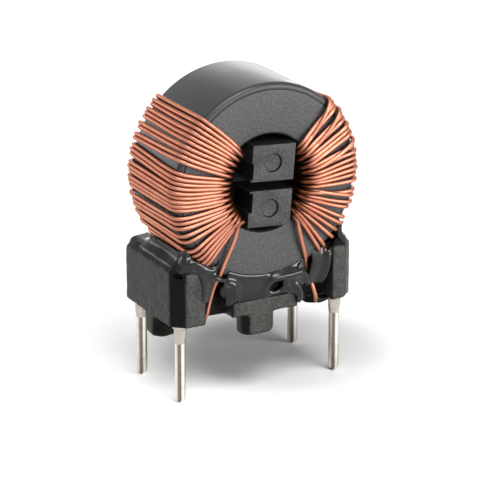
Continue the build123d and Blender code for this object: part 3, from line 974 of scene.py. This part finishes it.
def around_ring(ring, path):
    """The direction round the ring at each point: (-sin a, 0, cos a)."""
    spoke = path - np.array([0, 0, ring.centre_height])
    spoke[:, 1] = 0
    spoke = unit(spoke)
    return np.stack([-spoke[:, 2], 0 * spoke[:, 0], spoke[:, 0]], axis=-1)


class CHOKE_OT_windings(bpy.types.Operator):
    """Winds both halves, each as one wire from its back pin to its front pin"""

    bl_idname = "choke.windings"
    bl_label = "Windings"

    def execute(self, context):
        ring, wire = context.scene.choke_ring, context.scene.choke_wire
        finish = copper_finish(context.scene.choke_colours, ring)
        for name, table in (("left", LEFT_TURNS), ("right", RIGHT_TURNS)):
            layout = Layout(ring, wire, SIDES[name])
            path = bent_path(*winding_path(layout, table))
            across = around_ring(ring, path)
            stray = lattice_noise(path, cell=2.3 * MM, seed=5 + SIDES[name])[:, None]
            path = path + across * (stray * wire.wander)
            shell = tube(path, layout.radius, across, wire.sides)
            node_name = "winding_" + name
            placed("wire_" + name, mesh_of("wire_" + name, shell), finish, "copper_wire", node_name)
        return {"FINISHED"}


# Base


class CHOKE_OT_base(bpy.types.Operator):
    """Builds the moulded base with round edges and a slightly uneven skin"""

    bl_idname = "choke.base"
    bl_label = "Base"

    def execute(self, context):
        colours = context.scene.choke_colours
        mesh = softened("moulded_base", merged_copy("base"), voxel=0.1, rounds=26)
        lumpy(mesh, height=0.03 * MM, cell=0.6 * MM, seed=11)
        finish = plastic_finish(
            "base_plastic", colours.base, 0.3, BASE_GRAIN, film_level=0.55, film_roughness=0.22,
            specular=0.25, painted_lightness=8.0, polish=0.3, sides=0.45,
        )
        placed("moulded_base", mesh, finish, "base_plastic", "base")
        return {"FINISHED"}


# Pins and solder


def pin_profile(low, high, radius):
    """The pin's outline from its tip up: a quarter of a flattened ellipse, then a straight side."""
    t = np.linspace(0.04, np.pi / 2, 12)
    tip = np.stack([radius * np.sin(t) ** 0.8, low + TIP_HEIGHT * (1 - np.cos(t))], axis=-1)
    side = np.stack([np.full(12, radius), np.linspace(low + SIDE_STARTS, high, 12)], axis=-1)
    return np.concatenate([tip, side])


def solder_profile(radius, low, high):
    """The solder's outline: thin on the pin at the bottom, then a cone, and a thin collar at the top."""
    t = np.linspace(0, 1, 32)
    foot = np.clip((t - 0.22) / 0.05, 0, 1)
    cone = np.clip((t - 0.3) / 0.5, 0, 1)
    collar = np.clip((t - 0.74) / 0.06, 0, 1)
    width = 1.02 + 0.1 * foot + 0.1 * cone + 0.24 * collar
    return np.stack([radius * width, low + (high - low) * t], axis=-1)


# Painted reflections: where the dark and bright streaks along a pin and the solder lie, and how bright each
# is
PIN_PAINTED_REFLECTIONS = (
    (-1.0, 0.85), (-0.9, 0.6), (-0.76, 0.06), (-0.38, 0.03), (-0.22, 0.8), (0.0, 1.0), (0.2, 1.0),
    (0.36, 0.6), (1.0, 0.55),
)
SOLDER_PAINTED_REFLECTIONS = ((-1, 0.4), (1, 0.5))
# How high the round tip of a pin is, and how far above its lowest point the straight side starts
TIP_HEIGHT, SIDE_STARTS = 0.55 * MM, 0.6 * MM


class CHOKE_OT_pins(bpy.types.Operator):
    """Turns the four tinned pins and the solder round each"""

    bl_idname = "choke.pins"
    bl_label = "Pins and solder"

    def execute(self, context):
        colours = context.scene.choke_colours
        tin = tin_finish("tinned_pin", colours, PIN_PAINTED_REFLECTIONS, roughness=0.17, scratch=0.1)
        solder = tin_finish("solder", colours, SOLDER_PAINTED_REFLECTIONS, roughness=0.2, scratch=0.3)
        for place in PLACES:
            low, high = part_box("pin_" + place)
            centre = ((low.x + high.x) / 2, (low.y + high.y) / 2)
            radius = (high.x - low.x) / 2
            shell = turned_on_pin(pin_profile(low.z, high.z, radius), centre)
            placed("pin_" + place + "_turned", mesh_of("pin_" + place + "_turned", shell), tin, "tinned_pin",
                   "pin_" + place)
            low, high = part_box("solder_" + place)
            shell = turned_on_pin(
                solder_profile(radius, low.z, high.z), centre, segments=36, lumps=0.03
            )
            placed("solder_" + place + "_flare", mesh_of("solder_" + place + "_flare", shell), solder,
                   "solder", "solder_" + place)
        return {"FINISHED"}


# Glue


# Strands that the photo shows: how far across and down the picture, in pixels, then y and
# the radius in millimetres
SEEN_STRANDS = {
    "front": [
        [(266, 291, -4.65, 0.26), (267.5, 285, -4.85, 0.32), (272, 279.5, -5.0, 0.36),
         (281, 276.5, -5.08, 0.38), (291, 274.5, -5.1, 0.4), (300, 272, -5.1, 0.36), (306, 276, -5.0, 0.3),
         (308, 282, -4.9, 0.25)],
        [(261, 295.5, -4.68, 0.2), (270, 293.5, -4.6, 0.26), (278, 291.5, -4.6, 0.26),
         (287, 289, -4.68, 0.24)],
        [(283, 281, -4.7, 0.3), (287, 285, -4.85, 0.42), (289, 289, -4.9, 0.35), (288, 293, -4.85, 0.25)],
        [(291, 279, -5.0, 0.25), (296, 285, -5.08, 0.36), (299, 292, -5.05, 0.38), (299, 299, -4.95, 0.3),
         (298, 303, -4.9, 0.15)],
        [(222, 281, -4.75, 0.28), (229, 282.5, -4.9, 0.34), (234, 286, -4.97, 0.34),
         (235.3, 294, -4.97, 0.28), (235.3, 303, -4.93, 0.2)],
        [(220, 286, -4.3, 0.35), (224, 291, -4.15, 0.5), (228, 297, -4.1, 0.45), (230, 303, -4.1, 0.25)],
    ],
    "left": [
        [(212.5, 275, -5.15, 0.12), (216, 278, -5.3, 0.2), (221, 280, -5.3, 0.22), (226, 280, -5.1, 0.2)],
        [(203, 266, -4.85, 0.3), (208, 272, -4.8, 0.34), (210, 281, -4.75, 0.3), (209, 292, -4.75, 0.26),
         (206, 304, -4.8, 0.16)],
        [(196, 270, -5.0, 0.16), (200.5, 275, -5.04, 0.2), (203, 284, -5.04, 0.2), (203.5, 296, -5.02, 0.16),
         (201, 306, -5.0, 0.1)],
        [(199, 272, -5.02, 0.12), (205.5, 279, -4.98, 0.2), (206, 290, -4.95, 0.18), (204, 302, -4.98, 0.12)],
        [(186, 269, -4.7, 0.25), (190, 266, -4.8, 0.32), (195, 263.5, -4.9, 0.3), (199, 265.5, -4.98, 0.28),
         (204, 269.5, -5.0, 0.3), (210, 271, -5.0, 0.3), (214.5, 269.5, -5.05, 0.22), (219, 264, -5.08, 0.18),
         (220, 258, -5.1, 0.12)],
        [(182, 262, -3.4, 0.9), (187, 260, -3.9, 0.8), (193, 261, -4.3, 0.6), (200, 264, -4.6, 0.5),
         (209, 268, -4.8, 0.4)],
        [(189, 273.5, -5.03, 0.08), (195, 273, -5.04, 0.1), (199, 275, -5.04, 0.08)],
        [(183, 258, -4.4, 0.35), (186, 266, -4.6, 0.4), (184, 272, -4.6, 0.25)],
    ],
    "right": [
        [(332, 245, -4.5, 0.22), (328.5, 254, -4.95, 0.3), (327.5, 264, -4.9, 0.26),
         (324.5, 275, -4.75, 0.26), (319, 283, -4.6, 0.22)],
        [(303, 259, -5.05, 0.14), (300, 265, -5.1, 0.2), (297, 270, -5.15, 0.28)],
    ],
}
# The web at the right that the photo shows: rows of how far across and down, in pixels, and y, in the
# same way
SEEN_WEB = [
    [(309, 247, -4.9), (318, 246, -4.75), (327, 244, -4.5), (333, 242, -4.4)],
    [(312, 256, -5.0), (319, 255, -4.9), (326, 253, -4.75), (332, 251, -4.55)],
    [(313, 266, -4.98), (319, 265, -4.9), (326, 263, -4.6), (334, 261, -4.5)],
    [(309, 276, -4.9), (316, 275, -4.75), (325, 273, -4.5), (333, 271, -4.4)],
    [(305, 286, -4.75), (312, 284, -4.6), (320, 281, -4.4), (330, 279, -4.3)],
]
# Strands given without points in the picture: x, y, z and the radius in millimetres
OTHER_STRANDS = {
    "back": [
        [(-4.2, 3.3, 5.9, 0.3), (-3.5, 4.0, 5.0, 0.45), (-3.2, 4.5, 4.2, 0.4), (-3.2, 4.75, 3.4, 0.25)],
        [(4.2, 3.3, 5.9, 0.3), (3.4, 4.0, 5.1, 0.5), (3.1, 4.5, 4.2, 0.4), (3.0, 4.75, 3.4, 0.25)],
        [(-1.6, 3.9, 4.6, 0.35), (-0.6, 4.3, 4.3, 0.45), (0.9, 4.2, 4.4, 0.4), (2.0, 4.0, 4.6, 0.3)],
    ],
    "left": [[(-5.75, -4.05, 2.0, 0.2), (-6.1, -3.9, 1.75, 0.3), (-6.5, -3.8, 1.75, 0.3)]],
    "right": [
        [(5.3, -4.05, 2.0, 0.2), (5.7, -3.85, 1.75, 0.34), (6.2, -3.8, 1.75, 0.34), (6.7, -3.8, 1.8, 0.3)],
    ],
}
# Strands at the back of both end blocks, written the same way for the right one
BLOCK_STRANDS = [
    [(4.6, 3.4, 5.9, 0.35), (5.4, 3.8, 6.4, 0.45), (6.2, 3.9, 6.8, 0.45), (6.9, 3.6, 7.2, 0.35)],
    [(6.0, 4.3, 6.6, 0.3), (5.8, 4.7, 5.6, 0.25), (5.75, 4.85, 4.4, 0.2), (5.8, 4.9, 3.2, 0.12)],
]
# The front film: where it hangs along x, and how many of the profile's rows each part has. The middle part
# stops at the hole.
FRONT_PARTS = [
    ([-3.75, -3.1, -2.4, -1.6, -0.8, 0.0, 0.45], 9),
    ([1.95, 2.4, 2.9, 3.3, 3.75], 9),
    ([0.1, 0.8, 1.5, 2.2], 4),
]
# The front film from the top down: y, the share of the way from the rail up to the ring face's edge, and
# what is added to that height
FRONT_PROFILE = [
    (-4.96, 1.0, 0.42), (-5.05, 1.0, 0.2), (-5.05, 1.0, -0.1), (-4.98, 0.78, 0.0), (-4.88, 0.58, 0.0),
    (-4.79, 0.4, 0.0), (-4.73, 0.22, 0.0), (-4.72, 0.0, 0.06), (-4.74, 0.0, -0.25),
]
# The rail's top, and the edges that the front film and the back film hang from, in millimetres
RAIL_TOP, FACE_EDGE_RADIUS, BACK_EDGE_RADIUS = 3.3, 8.32, 8.2
# The film on an end block's top: x and z from the outside in, at its front end, along it and at its back
BLOCK_FRONT = [(8.0, 6.7), (7.95, 7.15), (7.7, 7.5), (7.5, 7.9), (7.5, 8.4), (7.75, 8.95)]
BLOCK_MIDDLE = [(8.45, 6.95), (8.3, 7.25), (8.05, 7.45), (7.75, 7.75), (7.68, 8.05), (7.75, 8.4)]
BLOCK_BACK = [(8.3, 6.8), (8.2, 7.1), (7.9, 7.3), (7.5, 7.4), (7.0, 7.45), (6.5, 7.5)]


def seen(rows):
    """Rows of (across, down, y, ...), in pixels and millimetres, as (x, y, z, ...) in millimetres: where
    the camera's ray through that place in the picture meets the upright plane at y."""
    rows = np.asarray(rows, float)
    forward = -from_front(-CAMERA_YAW, CAMERA_PITCH)
    right = np.array([math.cos(CAMERA_YAW), -math.sin(CAMERA_YAW), 0])
    up = np.cross(right, forward)
    off_middle = (rows[:, :2] - PICTURE_SIZE / 2) * SENSOR_WIDTH / (PICTURE_SIZE * CAMERA_LENS)
    ray = forward + off_middle[:, :1] * right - off_middle[:, 1:] * up
    eye = camera_place() / MM
    points = eye + (rows[:, 2:3] - eye[1]) / ray[:, 1:2] * ray
    return np.column_stack([points, rows[:, 3:]])


def ring_edge(x, radius):
    """How high the lower edge of a circle round the ring's axis lies at x: c - sqrt(r^2 - x^2)."""
    return (cup_low.z + cup_high.z) / 2 / MM - np.sqrt(radius**2 - x**2)


def front_film(places, count):
    """One part of the front film, hung from the ring face's edge down to the rail."""
    x = np.array(places)[None, :]
    y, share, added = np.array(FRONT_PROFILE[:count]).T[..., None]
    height = RAIL_TOP + share * (ring_edge(x, FACE_EDGE_RADIUS) - RAIL_TOP) + added
    return np.stack(np.broadcast_arrays(x, y, height), axis=-1)


def back_film():
    """The back film, from the ring's lower edge down over the centre body."""
    x = np.linspace(-3.6, 3.6, 7)
    edge = ring_edge(x, BACK_EDGE_RADIUS) + 0.02
    levels = ((3.2, edge), (3.75, edge - 0.45), (3.95, 4.35), (4.4, 3.7), (4.75, 3.4))
    return np.array([np.stack(np.broadcast_arrays(x, y, z), axis=-1) for y, z in levels])


def block_film(side):
    """The film on an end block's top, with slow waves along it: x strays by 0.03 sin(2.2 y + side) and z
    by 0.04 sin(1.9 y + k / 2) in row k."""
    y = np.array([-4.75, -3.8, -2.0, -0.2, 1.4, 2.6, 4.3])
    outlines = np.array([BLOCK_FRONT, *[BLOCK_MIDDLE] * 4, BLOCK_BACK, BLOCK_BACK])
    k = np.arange(6)[:, None]
    x = outlines[..., 0].T - 0.03 * np.sin(2.2 * y + side) * ((k > 0) & (k < 5))
    z = outlines[..., 1].T + 0.04 * np.sin(1.9 * y + 0.5 * k) * (k > 1)
    return np.stack(np.broadcast_arrays(side * x, y, z), axis=-1)


def strands_of(name):
    """The strands of one piece of glue, as rows of (x, y, z, radius)."""
    rows = [seen(points) for points in SEEN_STRANDS.get(name, [])] + OTHER_STRANDS.get(name, [])
    if name in SIDES:
        rows += [np.array(points) * [SIDES[name], 1, 1, 1] for points in BLOCK_STRANDS]
    return rows


def films_of(name):
    """The films of one piece of glue, each a grid of (x, y, z) and the vector to its other side."""
    if name == "front":
        return [(front_film(places, count), (0, 0.6, 0.08)) for places, count in FRONT_PARTS]
    if name == "back":
        return [(back_film(), (0, -0.7, 0))]
    films = [(block_film(SIDES[name]), (-0.5 * SIDES[name], 0, -0.25))]
    if name == "right":
        films.append((np.array([seen(row) for row in SEEN_WEB]), (0, 0.5, 0)))
    return films


class CHOKE_OT_glue(bpy.types.Operator):
    """Runs the resin between the ring, the wires and the base"""

    bl_idname = "choke.glue"
    bl_label = "Glue"

    def execute(self, context):
        colours = context.scene.choke_colours
        finish = resin_finish(colours)
        for name in ("front", "back", "left", "right"):
            shells = [strand(points) for points in strands_of(name)]
            shells += [film(*sheet) for sheet in films_of(name)]
            mesh = mesh_of("resin_" + name, joined(shells))
            mesh = softened("resin_" + name, mesh, voxel=0.08, rounds=10, web=0.3)
            lumpy(mesh, height=0.014 * MM, cell=0.8 * MM, seed=21)
            placed("resin_" + name, mesh, finish, "glue", "glue_" + name)
        return {"FINISHED"}


# Stage


# Lamps: azimuth from the front (degrees, positive to the right), height, distance, width and height of
# the lamp (mm), power
LAMPS = {
    "front_right_low": (32, 10, 330, 260, 100, 1.05),
    "front_top": (0, 62, 330, 150, 150, 0.72),
    "left_top": (-60, 62, 330, 150, 150, 0.1),
    "back_right_low": (150, 8, 330, 150, 80, 0.15),
    "back_right_high": (150, 32, 330, 150, 150, 0.05),
    "back_left_low": (-150, 8, 330, 150, 80, 0.15),
}
# How bright the open floor glows for the camera, and the middle of the shadow, where it doesn't: the patch
# left without glow there paints the shadow's extent
GLOW = 0.5
SHADOW_CENTRE = (5.5 * MM, 2.5 * MM, 0)
# Between which distances from there the glow sets in, and where it makes up for the lamps' lost light
SHADOW_EDGE = (6.5 * MM, 14.5 * MM)
LAMPS_FADE = (60 * MM, 250 * MM)


def aimed(thing, place, target):
    """Puts a lamp at a place and turns it towards the target."""
    from mathutils import Vector

    thing.location = place
    thing.rotation_euler = (Vector(target) - Vector(place)).to_track_quat("-Z", "Y").to_euler()


class CHOKE_OT_stage(bpy.types.Operator):
    """Sets the table, the soft lamps, the surroundings and the camera"""

    bl_idname = "choke.stage"
    bl_label = "Stage"

    def execute(self, context):
        scene = context.scene
        edge = 3.0
        corners = np.array([[-1, -1], [1, -1], [1, 1], [-1, 1]]) * edge
        points = np.column_stack([corners, np.zeros(4)])
        mesh = bpy.data.meshes.new("table")
        mesh.from_pydata(points, [], [(0, 1, 2, 3)])
        mesh.materials.append(floor_finish(scene.choke_colours))
        table = bpy.data.objects.new("table", mesh)
        scene.collection.objects.link(table)
        table.location.z = pin_low.z

        for name, (azimuth, height, distance, width, tall, power) in LAMPS.items():
            light = bpy.data.lights.new(name, "AREA")
            light.shape, light.energy = "RECTANGLE", power
            light.size, light.size_y = width * MM, tall * MM
            lamp = bpy.data.objects.new(name, light)
            scene.collection.objects.link(lamp)
            place = CAMERA_AIM + from_front(math.radians(azimuth), math.radians(height)) * distance * MM
            aimed(lamp, place, CAMERA_AIM)

        self.surroundings(scene)
        camera_data = bpy.data.cameras.new("camera")
        camera_data.lens, camera_data.sensor_width = CAMERA_LENS, SENSOR_WIDTH
        camera_data.clip_start, camera_data.clip_end = 0.01, 20
        camera = bpy.data.objects.new("camera", camera_data)
        scene.collection.objects.link(camera)
        camera.location = camera_place()
        camera.rotation_euler = (math.pi / 2 - CAMERA_PITCH, 0, -CAMERA_YAW)
        scene.camera = camera
        scene.view_settings.view_transform = "Standard"
        return {"FINISHED"}

    def surroundings(self, scene):
        """White where the camera, mirrors and glass look past the table's edge, dim for everything else."""
        world = bpy.data.worlds.new("surroundings")
        scene.world = world
        world.use_nodes = True
        tree = world.node_tree
        tree.nodes.clear()
        dim, white = (
            node(tree, "ShaderNodeBackground", {"Color": (1, 1, 1, 1), "Strength": strength})
            for strength in (0.02, 1.0)
        )
        mix = node(
            tree, "ShaderNodeMixShader",
            {0: white_view(tree), 1: dim.outputs["Background"], 2: white.outputs["Background"]},
        )
        node(tree, "ShaderNodeOutputWorld", {"Surface": mix.outputs["Shader"]})


# Panel and registration


OPERATORS = (
    CHOKE_OT_case,
    CHOKE_OT_divider,
    CHOKE_OT_windings,
    CHOKE_OT_base,
    CHOKE_OT_pins,
    CHOKE_OT_glue,
    CHOKE_OT_stage,
)


class CHOKE_PT_panel(bpy.types.Panel):
    """Lists the choke's sizes, colours and pieces"""

    bl_label = "Common mode choke"
    bl_idname = "CHOKE_PT_panel"
    bl_space_type = "VIEW_3D"
    bl_region_type = "UI"
    bl_category = "Choke"

    def draw(self, context):
        for name, group in GROUPS:
            box = self.layout.box()
            settings = getattr(context.scene, name)
            for key in group.__annotations__:
                box.prop(settings, key)
        for operator in OPERATORS:
            self.layout.operator(operator.bl_idname)


def register():
    """Adds the classes and the scene's settings."""
    for name, group in GROUPS:
        bpy.utils.register_class(group)
        setattr(bpy.types.Scene, name, PointerProperty(type=group))
    for item in (*OPERATORS, CHOKE_PT_panel):
        bpy.utils.register_class(item)


def unregister():
    """Takes the classes and the settings away again."""
    for item in reversed((*OPERATORS, CHOKE_PT_panel)):
        bpy.utils.unregister_class(item)
    for name, group in reversed(GROUPS):
        delattr(bpy.types.Scene, name)
        bpy.utils.unregister_class(group)


def main():
    """Builds every piece and the stage."""
    register()
    for operator in OPERATORS:
        area, name = operator.bl_idname.split(".")
        getattr(getattr(bpy.ops, area), name)()


if __name__ == "__main__":
    main()
